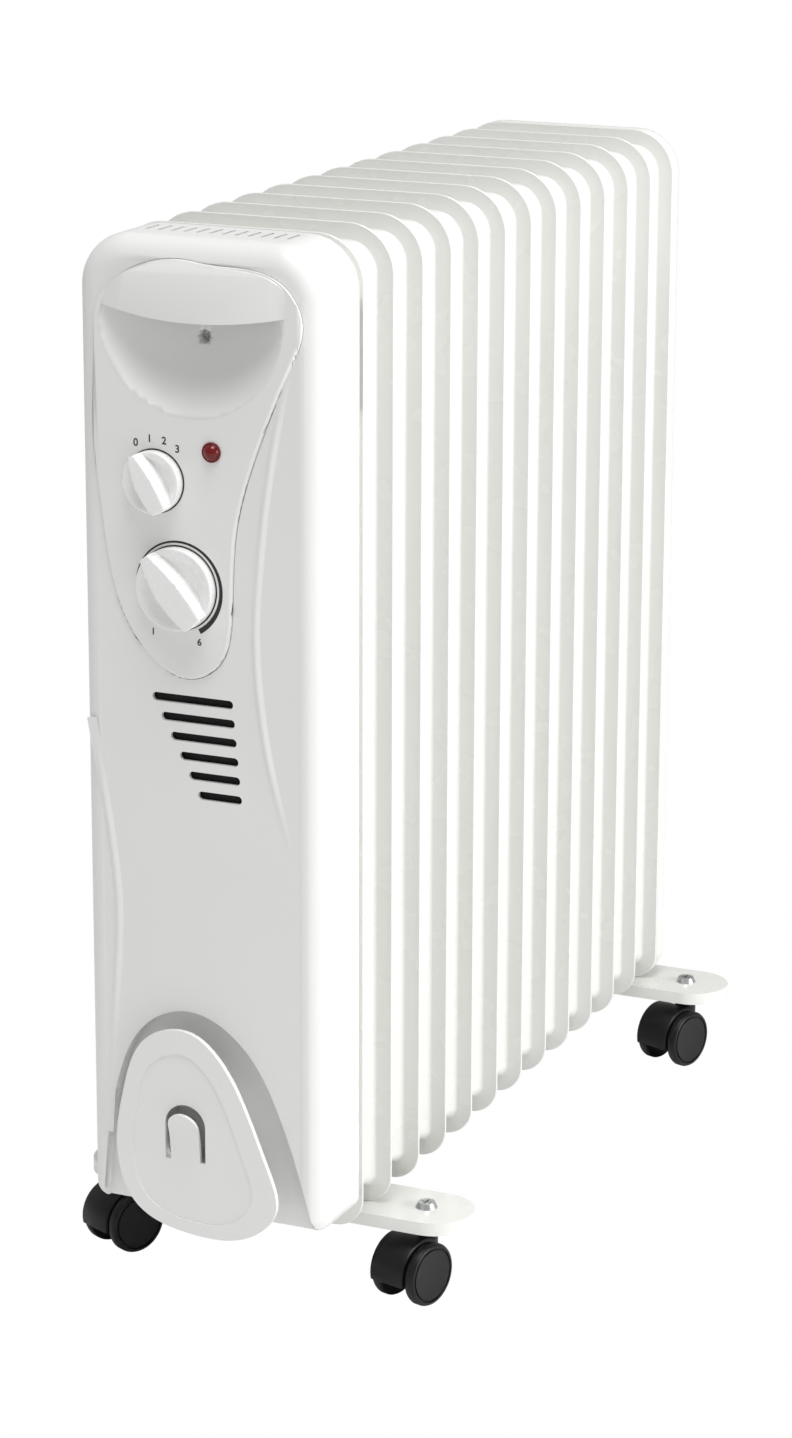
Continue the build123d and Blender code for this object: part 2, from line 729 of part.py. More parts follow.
# Tongue cut free in the plate and bent outwards, for the last turn of the cord.
with BuildPart() as cord_hook:
    hook_face = plate_back - winder_thickness + winder_inset
    with BuildSketch(Plane.YZ.offset(hook_x - hook_width / 2)):
        with BuildLine():
            Line((hook_face, hook_foot), (plate_back, hook_foot))
            TangentArc((plate_back, hook_foot), (plate_back - hook_out, hook_top), tangent=(0, 1))
            Line((plate_back - hook_out, hook_top), (hook_face - hook_out, hook_top))
            TangentArc((hook_face, hook_foot), (hook_face - hook_out, hook_top), tangent=(0, 1))
        make_face()
    extrude(amount=hook_width)
    with BuildSketch(upright(plate_back)):
        add(hook_outline(0))
    extrude(amount=2 * winder_stand, mode=Mode.INTERSECT)

with BuildPart() as winder_plate:
    with BuildSketch(upright(plate_back)):
        add(winder_outline(1, 1))
    extrude(amount=winder_thickness)
    with BuildSketch(upright(plate_back - winder_thickness)):
        add(winder_outline(winder_field_width, winder_field_height, winder_field_shift))
    extrude(amount=-winder_inset, mode=Mode.SUBTRACT)
    with BuildSketch(upright(plate_back)):
        add(hook_outline(hook_slit))
    extrude(amount=winder_thickness, mode=Mode.SUBTRACT)
    add(cord_hook.part)
save(winder_plate, "winder_plate")

with BuildPart() as cord_gland:
    with BuildSketch(Plane.XY.offset(housing_bottom - gland_flange)):
        with Locations((0, gland_y)):
            Circle(gland_radius + gland_flange)
    extrude(amount=gland_flange)
    with BuildSketch(Plane.XY.offset(housing_bottom)):
        with Locations((0, gland_y)):
            Circle(gland_radius)
    extrude(amount=housing_wall)
    with BuildSketch(Plane.XY.offset(housing_bottom + housing_wall)):
        with Locations((0, gland_y)):
            Circle(gland_radius + gland_flange)
    extrude(amount=gland_flange)
    with BuildSketch(Plane.XY.offset(housing_bottom - gland_flange)):
        with Locations((0, gland_y)):
            Circle(gland_bore_radius)
    extrude(amount=housing_wall + 2 * gland_flange, mode=Mode.SUBTRACT)
save(cord_gland, "cord_gland")

# ================= rear cover =================
def cover_block(shrink, ease):
    """The cover's form, shrunk inwards all round, its rear edge rounded or bevelled by ease."""
    with BuildPart() as block:
        with BuildSketch(upright(last_y + sheet)):
            with Locations((0, fin_mid)):
                RectangleRounded(fin_width - 2 * shrink, fin_height - 2 * shrink, fin_corner - shrink)
        extrude(amount=-(cover_depth - shrink))
        ease(block.faces().sort_by(Axis.Y)[-1].edges(), cover_round - shrink)
    return block.part


with BuildPart() as rear_cover:
    add(cover_block(0, fillet))
    add(cover_block(cover_sheet, chamfer), mode=Mode.SUBTRACT)
save(rear_cover, "rear_cover")


# ================= brackets =================
plate_top = fin_ground
stem_x = stem_spacing / 2


def bracket(bolt_y):
    """Pressed pan with round ends, its rim turned down, and a tongue reaching forwards to the U-bolt."""
    y = bolt_y + bracket_out
    reach = bracket_out + tongue_tail
    with BuildPart() as pan:
        with BuildSketch(Plane.XY.offset(plate_top)) as outer:
            with Locations((0, y)):
                SlotOverall(bracket_length, bracket_width)
            with Locations((0, y - reach / 2)):
                Rectangle(tongue_width, reach)
        extrude(amount=-bracket_depth)
        with BuildSketch(Plane.XY.offset(plate_top - bracket_sheet)):
            offset(outer.sketch, amount=-bracket_sheet, kind=Kind.ARC)
        extrude(amount=-bracket_depth, mode=Mode.SUBTRACT)
        with BuildSketch(Plane.XY.offset(plate_top)):
            with Locations((-stem_x, y), (stem_x, y)):
                Circle(stem_radius)
            with Locations((-bolt_leg, bolt_y), (bolt_leg, bolt_y)):
                Circle(bolt_radius + bolt_gap)
        extrude(amount=-bracket_depth, mode=Mode.SUBTRACT)
    return pan


bolt_leg = collector_radius + bolt_gap + bolt_radius
bolt_foot = plate_top - bracket_sheet - nut_height - bolt_tail
front_bolt_y = first_y + fin_pitch / 2
rear_bolt_y = last_y - fin_pitch / 2
front_bracket_y = front_bolt_y + bracket_out
rear_bracket_y = rear_bolt_y + bracket_out
save(bracket(front_bolt_y), "front_bracket")
save(bracket(rear_bolt_y), "rear_bracket")

with BuildPart() as u_bolts:
    for bolt_y in (front_bolt_y, rear_bolt_y):
        with BuildSketch(Plane.XY.offset(bolt_foot)):
            with Locations((-bolt_leg, bolt_y), (bolt_leg, bolt_y)):
                RegularPolygon(bolt_radius, bar_sides)
        extrude(amount=low_collector - bolt_foot)
        with BuildSketch(Plane.XY.offset(low_collector)):
            with Locations((bolt_leg, bolt_y)):
                RegularPolygon(bolt_radius, bar_sides)
        revolve(axis=Axis((0, bolt_y, low_collector), (0, -1, 0)), revolution_arc=180)
save(u_bolts, "u_bolts")

with BuildPart() as wing_nuts:
    for bolt_y in (front_bolt_y, rear_bolt_y):
        for side in (-1, 1):
            with BuildSketch(Plane.XY.offset(plate_top - bracket_sheet)):
                with Locations((side * bolt_leg, bolt_y)):
                    RegularPolygon(nut_radius, 6)
            extrude(amount=-nut_height)
            with BuildSketch(Plane.XY.offset(plate_top - bracket_sheet - nut_wing_set)):
                with Locations((side * bolt_leg, bolt_y)):
                    Rectangle(nut_wing_span, nut_wing_sheet)
            extrude(amount=-(nut_height - nut_wing_set + 3))
    for bolt_y in (front_bolt_y, rear_bolt_y):
        with BuildSketch(Plane.XY.offset(plate_top)):
            with Locations((-bolt_leg, bolt_y), (bolt_leg, bolt_y)):
                Circle(bolt_radius)
        extrude(amount=-2 * bracket_depth - nut_height, mode=Mode.SUBTRACT)
save(wing_nuts, "wing_nuts")

# ================= casters =================
stem_spots = [(side * stem_x, y) for y in (front_bracket_y, rear_bracket_y) for side in (-1, 1)]
hood_top = plate_top - bracket_depth - hood_top_gap
stem_foot = hood_top - socket_depth + 1

with BuildPart() as caster_stems:
    with BuildSketch(Plane.XY.offset(stem_foot)):
        with Locations(*stem_spots):
            Circle(stem_radius)
    extrude(amount=plate_top - stem_foot)
save(caster_stems, "caster_stems")

with BuildPart() as stem_nuts:
    for x, y in stem_spots:
        with BuildSketch(Plane.XY.offset(plate_top)):
            with Locations((x, y)):
                Circle(stem_head_radius)
        extrude(amount=stem_head_height, taper=25)
        with BuildSketch(Plane.XY.offset(plate_top + stem_head_height)):
            with Locations((x, y)):
                Rectangle(stem_head_radius, 1)
                Rectangle(1, stem_head_radius)
        extrude(amount=-stem_cross_depth, mode=Mode.SUBTRACT)
save(stem_nuts, "stem_nuts")


def caster_plane(x, y, angle):
    """Upright plane through the axle, across it: sketch x runs back towards the stem, sketch y is Z."""
    turn = radians(angle)
    along = (cos(turn), sin(turn), 0)
    back = (-sin(turn), cos(turn), 0)
    axle_spot = (x - trail * back[0], y - trail * back[1], 0)
    return Plane(origin=axle_spot, x_dir=back, z_dir=along)


def caster_hood(x, y, angle):
    mid = caster_plane(x, y, angle)
    inner = hood_width / 2 - hood_wall
    with BuildPart() as hood:
        with BuildSketch(mid.offset(-hood_width / 2)):
            with Locations((0, wheel_radius)):
                Circle(hood_radius)
        extrude(amount=hood_width)
        with BuildSketch(mid.offset(-inner)):
            with Locations((0, wheel_radius)):
                RegularPolygon(hood_radius - hood_wall, 3 * neck_sides)
        extrude(amount=2 * inner, mode=Mode.SUBTRACT)
        with BuildSketch(mid.offset(-hood_width)):
            with BuildLine():
                Polyline((-2 * hood_radius, -hood_wall), (2 * hood_radius, -hood_wall),
                         (2 * hood_radius, hood_back_height), (hood_radius * 0.5, hood_back_height),
                         (0, hood_front_height), (-2 * hood_radius, hood_front_height), close=True)
            make_face()
        extrude(amount=2 * hood_width, mode=Mode.SUBTRACT)
        with BuildSketch(Plane.XY.offset(hood_top)):
            with Locations((x, y)):
                Circle(socket_radius)
        extrude(amount=-socket_depth)
        with BuildSketch(Plane.XY.offset(hood_top + 1)):
            with Locations((x, y)):
                Circle(stem_radius + stem_play)
        extrude(amount=-socket_depth, mode=Mode.SUBTRACT)
        with BuildSketch(mid.offset(-hood_width / 2)):
            with Locations((0, wheel_radius)):
                RegularPolygon(axle_radius + 2.5, neck_sides)
        extrude(amount=hood_width)
        with BuildSketch(mid.offset(-hood_width / 2)):
            with Locations((0, wheel_radius)):
                Circle(axle_radius)
        extrude(amount=hood_width, mode=Mode.SUBTRACT)
    return hood


def caster_axle(x, y, angle):
    mid = caster_plane(x, y, angle)
    half = hood_width / 2 + wheel_gap + wheel_width * 0.7
    with BuildPart() as axle:
        with BuildSketch(mid.offset(-half)):
            with Locations((0, wheel_radius)):
                Circle(axle_radius)
        extrude(amount=2 * half)
    return axle


def caster_wheel(x, y, angle, side):
    """Solid disc with rounded tread edges, dished outer face and a blind axle bore."""
    mid = caster_plane(x, y, angle)
    inner = side * (hood_width / 2 + wheel_gap)
    with BuildPart() as wheel:
        with BuildSketch(mid.offset(inner)):
            with Locations((0, wheel_radius)):
                Circle(wheel_radius)
        extrude(amount=side * wheel_width)
        with BuildSketch(mid.offset(inner)):
            with Locations((0, wheel_radius)):
                Circle(axle_radius + axle_play)
        extrude(amount=side * wheel_width * 0.75, mode=Mode.SUBTRACT)
    return wheel


corner_names = ("front_left", "front_right", "rear_left", "rear_right")
for corner, (x, y), angle in zip(corner_names, stem_spots, caster_turns):
    save(caster_hood(x, y, angle), f"caster_hood_{corner}")
    save(caster_axle(x, y, angle), f"caster_axle_{corner}")
    save(caster_wheel(x, y, angle, -1), f"caster_wheel_{corner}_a")
    save(caster_wheel(x, y, angle, 1), f"caster_wheel_{corner}_b")
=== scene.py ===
import json
import math
import bpy
import bmesh
from mathutils import Matrix, Vector


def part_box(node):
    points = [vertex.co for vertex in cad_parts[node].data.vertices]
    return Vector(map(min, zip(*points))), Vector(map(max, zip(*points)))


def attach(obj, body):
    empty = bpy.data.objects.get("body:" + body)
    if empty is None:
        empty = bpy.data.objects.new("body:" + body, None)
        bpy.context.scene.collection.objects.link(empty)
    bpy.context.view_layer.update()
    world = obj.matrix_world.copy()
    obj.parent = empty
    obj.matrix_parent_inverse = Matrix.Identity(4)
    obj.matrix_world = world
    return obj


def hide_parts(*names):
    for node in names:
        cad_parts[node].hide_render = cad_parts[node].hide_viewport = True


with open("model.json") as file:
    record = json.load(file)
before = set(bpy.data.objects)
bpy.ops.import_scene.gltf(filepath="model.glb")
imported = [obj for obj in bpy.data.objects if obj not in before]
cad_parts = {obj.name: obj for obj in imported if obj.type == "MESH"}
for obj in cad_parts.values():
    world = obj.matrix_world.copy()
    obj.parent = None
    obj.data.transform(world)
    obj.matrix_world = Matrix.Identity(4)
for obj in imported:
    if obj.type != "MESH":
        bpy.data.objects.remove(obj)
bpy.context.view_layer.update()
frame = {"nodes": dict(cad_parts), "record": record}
nodes = frame["nodes"]
mm = 0.001
print("frame loaded:", len(nodes), "nodes")


# ---- shader helpers ----
class Wire:
    # one output socket that takes part in sums like a number
    def __init__(self, finish, socket):
        self.finish, self.socket = finish, socket

    def calc(self, operation, other):
        node = self.finish.nodes.new("ShaderNodeMath")
        node.operation = operation
        self.finish.feed(node.inputs[0], self)
        self.finish.feed(node.inputs[1], other)
        return Wire(self.finish, node.outputs[0])

    def __add__(self, other):
        return self.calc("ADD", other)

    def __mul__(self, other):
        return self.calc("MULTIPLY", other)

    __radd__ = __add__
    __rmul__ = __mul__


class Finish:
    # a material under construction: its nodes, its shader and its place on the piece
    def __init__(self, name):
        self.material = bpy.data.materials.new(name)
        self.material.use_nodes = True
        self.tree = self.material.node_tree
        self.nodes = self.tree.nodes
        self.shader = self.nodes["Principled BSDF"]
        self.place = self.add("ShaderNodeTexCoord", output="Object")

    def feed(self, socket, value):
        if isinstance(value, Wire):
            self.tree.links.new(value.socket, socket)
        elif value is not None:
            socket.default_value = value

    def add(self, kind, inputs=None, output=0, **settings):
        node = self.nodes.new(kind)
        for key, value in settings.items():
            setattr(node, key, value)
        for key, value in (inputs or {}).items():
            self.feed(node.inputs[key], value)
        return Wire(self, node.outputs[output])

    def noise(self, scale, detail):
        return self.add("ShaderNodeTexNoise", {"Vector": self.place, "Scale": scale, "Detail": detail})

    def blend(self, amount, low, high):
        node = self.nodes.new("ShaderNodeMix")
        node.data_type = "RGBA"
        self.feed(node.inputs[0], amount)
        self.feed(node.inputs[6], tuple(low) + (1,))
        self.feed(node.inputs[7], tuple(high) + (1,))
        return Wire(self, node.outputs[2])

    def set(self, **values):
        for key, value in values.items():
            self.feed(self.shader.inputs[key.replace("_", " ")], value)
        return self

    def bump(self, height, distance, strength=1.0):
        normal = self.add("ShaderNodeBump", {"Height": height, "Distance": distance, "Strength": strength})
        return self.set(Normal=normal)


# ---- finishes ----
def bakedEnamel():
    finish = Finish("bakedEnamel")
    tone = finish.noise(7, 3)
    peel = finish.noise(420, 2)
    finish.set(Base_Color=finish.blend(tone, (0.81, 0.81, 0.78), (0.84, 0.84, 0.815)),
               Roughness=0.24 + finish.noise(35, 2) * 0.06, Coat_Weight=0.25, Coat_Roughness=0.12)
    return finish.bump(peel, 0.00005, 0.3).material


def mouldedWhite():
    finish = Finish("mouldedWhite")
    tone = finish.noise(9, 3)
    grain = finish.noise(1500, 2)
    finish.set(Base_Color=finish.blend(tone, (0.80, 0.80, 0.785), (0.85, 0.85, 0.84)),
               Roughness=0.27 + finish.noise(60, 2) * 0.1)
    return finish.bump(grain, 0.00004, 0.5).material


def knobWhite():
    finish = Finish("knobWhite")
    tone = finish.noise(40, 2)
    finish.set(Base_Color=finish.blend(tone, (0.86, 0.86, 0.85), (0.90, 0.90, 0.895)),
               Roughness=0.22 + finish.noise(200, 2) * 0.1)
    return finish.bump(finish.noise(1800, 2), 0.00003, 0.4).material


def casterBlack():
    finish = Finish("casterBlack")
    speck = finish.noise(1400, 3)
    finish.set(Base_Color=finish.blend(speck, (0.002, 0.002, 0.0022), (0.006, 0.006, 0.0065)),
               Specular_IOR_Level=0.3, Roughness=0.3 + finish.noise(90, 3) * 0.14)
    return finish.bump(speck, 0.00006, 0.6).material


def zincPlate():
    finish = Finish("zincPlate")
    cloud = finish.noise(260, 4)
    finish.set(Base_Color=finish.blend(cloud, (0.42, 0.44, 0.45), (0.72, 0.73, 0.72)), Metallic=1.0,
               Roughness=0.24 + finish.noise(700, 3) * 0.2)
    return finish.bump(finish.noise(900, 3), 0.00005, 0.5).material


def darkSteel():
    finish = Finish("darkSteel")
    cloud = finish.noise(300, 3)
    finish.set(Base_Color=finish.blend(cloud, (0.02, 0.02, 0.021), (0.06, 0.06, 0.062)), Metallic=0.7,
               Roughness=0.3 + finish.noise(500, 2) * 0.15)
    return finish.bump(cloud, 0.00004, 0.4).material


def redLens():
    finish = Finish("redLens")
    depth = finish.noise(500, 3)
    finish.set(Base_Color=finish.blend(depth, (0.06, 0.0005, 0.0005), (0.24, 0.003, 0.003)), Roughness=0.06,
               Specular_IOR_Level=0.45)
    return finish.bump(depth, 0.00008, 0.5).material


# dark finish of the switch, thermostat, cutout and terminal bodies, also put on the plates behind the vents
# and under the top slits as painted shade
def darkPartsAndPaintedShade():
    finish = Finish("darkPartsAndPaintedShade")
    speck = finish.noise(500, 3)
    finish.set(Base_Color=finish.blend(speck, (0.004, 0.004, 0.004), (0.012, 0.011, 0.010)),
               Roughness=0.7 + finish.noise(80, 2) * 0.2)
    return finish.bump(speck, 0.0001, 0.4).material


# black of the printed figures and scale arc, and of the dark rings round the knobs
def markingBlack():
    finish = Finish("markingBlack")
    spread = finish.noise(900, 2)
    finish.set(Base_Color=finish.blend(spread, (0.006, 0.006, 0.006), (0.02, 0.02, 0.02)),
               Roughness=0.4 + finish.noise(300, 2) * 0.1)
    return finish.material


def lampGlass():
    finish = Finish("lampGlass")
    tint = finish.noise(200, 2)
    finish.set(Base_Color=finish.blend(tint, (0.75, 0.55, 0.40), (0.9, 0.75, 0.6)),
               Roughness=0.1 + tint * 0.05)
    return finish.material


print("finishes")
enamel, white, knobPlastic = bakedEnamel(), mouldedWhite(), knobWhite()
black, zinc, dark = casterBlack(), zincPlate(), darkSteel()
lensRed, darkPartsAndShade, darkMarking, glass = redLens(), darkPartsAndPaintedShade(), markingBlack(), lampGlass()


# ---- piece helpers ----
mend = {"weld": 0.01 * mm, "flatAngle": 0.5, "rimAngle": 50, "inPlane": 0.05 * mm, "shadeAngle": 32}


def span(node):
    low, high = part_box(node)
    return Vector(low), Vector(high)


def middle(node):
    low, high = span(node)
    return (low + high) / 2


def finishPiece(name, bm, body, material, stands=(), sharpAngle=35):
    bmesh.ops.recalc_face_normals(bm, faces=bm.faces)
    mesh = bpy.data.meshes.new(name)
    bm.to_mesh(mesh)
    bm.free()
    mesh.shade_smooth()
    mesh.set_sharp_from_angle(angle=math.radians(sharpAngle))
    mesh.materials.append(material)
    piece = bpy.data.objects.new(name, mesh)
    bpy.context.scene.collection.objects.link(piece)
    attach(piece, body)
    if stands:
        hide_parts(*stands)
    return piece


def bodyOf(node):
    return next(body for body, members in frame["record"]["behaviour"]["bodies"].items() if node in members)


def hardEdges(bm, angle):
    return [e for e in bm.edges if len(e.link_faces) == 2 and e.calc_face_angle(0) > math.radians(angle)]


def outerRim(bm, front):
    # the tallest chain of hard edges in the front plane
    hard = {e for e in hardEdges(bm, mend["rimAngle"])
            if all(abs(v.co.y - front) < mend["inPlane"] for v in e.verts)}
    chains = []
    while hard:
        chain, ends = [], [hard.pop()]
        while ends:
            edge = ends.pop()
            chain.append(edge)
            near = {e for v in edge.verts for e in v.link_edges} & hard
            hard -= near
            ends += near
        heights = [v.co.z for e in chain for v in e.verts]
        chains.append((max(heights) - min(heights), len(chains), chain))
    return max(chains)[2]


def softened(node, material, slotName, width, segments=2, sharpAngle=30, front=None):
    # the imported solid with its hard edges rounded, or only the outer rim of its front plane
    bm = bmesh.new()
    bm.from_mesh(nodes[node].data)
    bmesh.ops.remove_doubles(bm, verts=bm.verts, dist=mend["weld"])
    bmesh.ops.dissolve_limit(bm, angle_limit=math.radians(mend["flatAngle"]), verts=bm.verts, edges=bm.edges)
    if width:
        hard = hardEdges(bm, sharpAngle) if front is None else outerRim(bm, front)
        bmesh.ops.bevel(bm, geom=hard, offset=width, offset_type="OFFSET", segments=segments, profile=0.5,
                        affect="EDGES", material=-1, clamp_overlap=front is None, loop_slide=True)
    piece = finishPiece("soft." + node, bm, bodyOf(node), material, [node],
                        sharpAngle=mend["shadeAngle"])
    flow = piece.modifiers.new("flow", "WEIGHTED_NORMAL")
    flow.keep_sharp = True
    return piece


def uprightSheet(width, height, topRadius, lowRadius, segments):
    # one face with round corners, standing in XZ and facing the front
    bm = bmesh.new()
    bmesh.ops.create_grid(bm, x_segments=1, y_segments=1, size=0.5)
    bmesh.ops.scale(bm, vec=(width, height, 1), verts=bm.verts)
    upper = [v for v in bm.verts if v.co.y > 0]
    lower = [v for v in bm.verts if v.co.y < 0]
    for corners, radius in ((upper, topRadius), (lower, lowRadius)):
        bmesh.ops.bevel(bm, geom=corners, offset=radius, offset_type="OFFSET", segments=segments,
                        profile=0.5, affect="VERTICES", material=-1)
    bmesh.ops.rotate(bm, cent=(0, 0, 0), matrix=Matrix.Rotation(math.pi / 2, 3, "X"), verts=bm.verts)
    return bm


def step(bm, face, inwards, outwards):
    bmesh.ops.inset_region(bm, faces=[face], thickness=inwards, depth=outwards, use_even_offset=True,
                           use_boundary=True)
    return face


# ---- fins ----
fin = {"width": 150 * mm, "height": 580 * mm, "corner": 28 * mm, "lowCorner": 18 * mm, "cornerSegments": 10,
       "sheet": 0.8 * mm, "edgeRise": 0.6, "edgeRound": 0.4, "flange": 9 * mm, "run": 6 * mm, "rise": 11 * mm,
       "bulgeSteps": 10, "support": 0.7 * mm, "grooveRadius": 13 * mm, "grooveHalf": 179 * mm,
       "grooveDepth": 8 * mm, "grooveRun": 5 * mm, "grooveSteps": 7, "neckRadius": 21 * mm,
       "neckInset": 52 * mm, "neckSegments": 40, "neckSoft": 0.8 * mm}


def swell(bm, face, run, rise, steps):
    # insets a face in steps that rise along a smooth S
    last = 0.0
    for i in range(1, steps + 1):
        part = i / steps
        level = rise * part * part * (3 - 2 * part)
        step(bm, face, run / steps, level - last)
        last = level


def halfFin():
    bm = uprightSheet(fin["width"], fin["height"], fin["corner"], fin["lowCorner"], fin["cornerSegments"])
    face = bm.faces[:][0]
    sheet = fin["sheet"]
    edge = sheet * fin["edgeRound"]
    step(bm, face, 0, sheet * fin["edgeRise"])
    step(bm, face, edge, edge)
    step(bm, face, fin["flange"] - edge, 0)
    swell(bm, face, fin["run"], fin["rise"] - sheet, fin["bulgeSteps"])
    step(bm, face, fin["support"], 0)
    # long groove between the two oil channels
    rim = face.edges[:]
    level = face.verts[0].co.y
    bmesh.ops.delete(bm, geom=[face], context="FACES_ONLY")
    made = bmesh.ops.create_circle(bm, cap_ends=True, segments=len(rim),
                                   radius=fin["grooveRadius"] + fin["support"])["verts"]
    bmesh.ops.rotate(bm, cent=(0, 0, 0), matrix=Matrix.Rotation(math.pi / 2, 3, "X"), verts=made)
    for v in made:
        v.co.y = level
        v.co.z += fin["grooveHalf"] * ((v.co.z > 1e-6) - (v.co.z < -1e-6))
    floor = made[0].link_faces[0]
    floor.normal_update()
    if floor.normal.y > 0:
        floor.normal_flip()
    bmesh.ops.triangle_fill(bm, use_beauty=True, edges=rim + floor.edges[:])
    step(bm, floor, fin["support"], 0)
    swell(bm, floor, fin["grooveRun"], -fin["grooveDepth"], fin["grooveSteps"])
    step(bm, floor, fin["support"], 0)
    return bm


def fins():
    half = halfFin()
    names = sorted(n for n in nodes if n.startswith("fin_"))
    second, third = (span(name)[0].y for name in names[1:3])
    for number, name in enumerate(names):
        low, high = span(name)
        bm = half.copy()
        copied = bmesh.ops.duplicate(bm, geom=bm.verts[:] + bm.edges[:] + bm.faces[:])["geom"]
        bmesh.ops.scale(bm, vec=(1, -1, 1), verts=[g for g in copied if isinstance(g, bmesh.types.BMVert)])
        bmesh.ops.remove_doubles(bm, verts=bm.verts, dist=0.01 * mm)
        midY = second + fin["rise"] + (third - second) * (number - 1)
        bmesh.ops.translate(bm, vec=(0, midY, (low.z + high.z) / 2), verts=bm.verts)
        for z in (low.z + fin["neckInset"], high.z - fin["neckInset"]):
            tube = bmesh.ops.create_cone(bm, cap_ends=True, segments=fin["neckSegments"],
                                         radius1=fin["neckRadius"], radius2=fin["neckRadius"],
                                         depth=high.y - low.y,
                                         matrix=Matrix.Translation((0, (low.y + high.y) / 2, z))
                                         @ Matrix.Rotation(math.pi / 2, 4, "X"))["verts"]
            rims = [e for e in {e for v in tube for e in v.link_edges} if abs(e.calc_face_angle(0)) > 1]
            bmesh.ops.bevel(bm, geom=rims, offset=fin["neckSoft"], segments=2, profile=0.5, affect="EDGES",
                            material=-1)
        finishPiece("finSheet." + name[-2:], bm, "heater", enamel, [name])
    half.free()
    print("fins:", len(names))


# ---- rear cover ----
cover = {"round": 10 * mm, "steps": 7, "wall": 1 * mm}


def rearCover():
    low, high = span("rear_cover")
    bm = uprightSheet(high.x - low.x, high.z - low.z, fin["corner"], fin["lowCorner"], fin["cornerSegments"])
    bmesh.ops.rotate(bm, cent=(0, 0, 0), matrix=Matrix.Rotation(math.pi, 3, "Z"), verts=bm.verts)
    face = bm.faces[:][0]
    step(bm, face, 0, high.y - low.y - cover["round"])
    for i in range(cover["steps"]):
        a, b = (math.pi / 2 * k / cover["steps"] for k in (i, i + 1))
        step(bm, face, cover["round"] * (math.cos(a) - math.cos(b)),
             cover["round"] * (math.sin(b) - math.sin(a)))
    bmesh.ops.translate(bm, vec=(0, low.y, (low.z + high.z) / 2), verts=bm.verts)
    piece = finishPiece("rearCoverShell", bm, "heater", enamel, ["rear_cover"])
    wall = piece.modifiers.new("wall", "SOLIDIFY")
    wall.thickness, wall.offset = cover["wall"], -1
    print("rear cover")


# ---- knobs ----
knobs = {"thermostat_knob": {"turn": -40}, "switch_knob": {"turn": -29.5}}
knobForm = {"around": 144, "skirt": 6 * mm, "dish": 2.9 * mm, "rimWidth": 2.6 * mm, "barEnd": 1.6 * mm,
            "barHalf": 0.36, "barTaper": 0.13, "barShift": 0.25, "barSoft": 1.5 * mm, "edge": 1.0 * mm,
            "dishStart": 0.4, "dishEnd": 0.4, "back": 0.4 * mm, "backReach": 0.5, "foot": 0.9 * mm,
            "footInset": 0.5 * mm, "wallSteps": 6, "edgeSteps": 3, "topSteps": 26}


def smooth(value, low, high):
    part = min(max((value - low) / (high - low), 0.0), 1.0)
    return part * part * (3 - 2 * part)


def knobHeight(right, up, radius, crown):
    # height over the panel side at a place on the knob's front, with the bar standing up
    reach = math.hypot(right, up)
    cheek = knobForm["skirt"] - knobForm["dish"] * smooth(
        radius - reach, knobForm["dishStart"] * knobForm["rimWidth"], radius * knobForm["dishEnd"])
    half = radius * (knobForm["barHalf"] - knobForm["barTaper"] * (up / radius + knobForm["barShift"]) ** 2)
    bar = smooth(half + knobForm["barSoft"] * 0.5 - abs(right), 0, knobForm["barSoft"])
    top = crown - knobForm["barEnd"] * (up / radius) ** 2
    return cheek + (top - cheek) * bar


def ringOf(bm, count, spot):
    return [bm.verts.new(spot(2 * math.pi * i / count)) for i in range(count)]


def bridgeRings(bm, rings):
    for inner, outer in zip(rings, rings[1:]):
        for i in range(len(inner)):
            j = (i + 1) % len(inner)
            bm.faces.new((inner[i], inner[j], outer[j], outer[i]))


def turningKnobs():
    for node, knob in knobs.items():
        low, high = span(node)
        centre = Vector(((low.x + high.x) / 2, high.y, (low.z + high.z) / 2))
        radius, crown = (high.x - low.x) / 2, high.y - low.y
        turn, edge = math.radians(knob["turn"]), knobForm["edge"]
        bm = bmesh.new()

        def spot(angle, reach, height):
            right, up = reach * math.sin(angle), reach * math.cos(angle)
            return centre + Vector((right * math.cos(turn) + up * math.sin(turn), -height,
                                    up * math.cos(turn) - right * math.sin(turn)))

        def rimTop(angle):
            return knobHeight(radius * math.sin(angle), radius * math.cos(angle), radius, crown)

        around, back, foot = (knobForm[k] for k in ("around", "back", "foot"))
        rings = [ringOf(bm, around, lambda a: spot(a, radius * knobForm["backReach"], back)),
                 ringOf(bm, around, lambda a: spot(a, radius - knobForm["footInset"], back))]
        for i in range(knobForm["wallSteps"] + 1):
            rings.append(ringOf(bm, around, lambda a: spot(
                a, radius, foot + (rimTop(a) - edge - foot) * i / knobForm["wallSteps"])))
        for i in range(1, knobForm["edgeSteps"] + 1):
            bend = math.pi / 2 * i / knobForm["edgeSteps"]
            rings.append(ringOf(bm, around, lambda a: spot(
                a, radius - edge * (1 - math.cos(bend)), rimTop(a) - edge * (1 - math.sin(bend)))))
        for i in range(1, knobForm["topSteps"] + 1):
            reach = (radius - edge) * (1 - i / (knobForm["topSteps"] + 1))
            rings.append(ringOf(bm, around, lambda a: spot(
                a, reach, knobHeight(reach * math.sin(a), reach * math.cos(a), radius, crown))))
        bridgeRings(bm, rings)
        bm.faces.new(rings[-1])
        bm.faces.new(rings[0])
        finishPiece("grip." + node, bm, bodyOf(node), knobPlastic, [node], sharpAngle=60)
    print("knobs:", len(knobs))


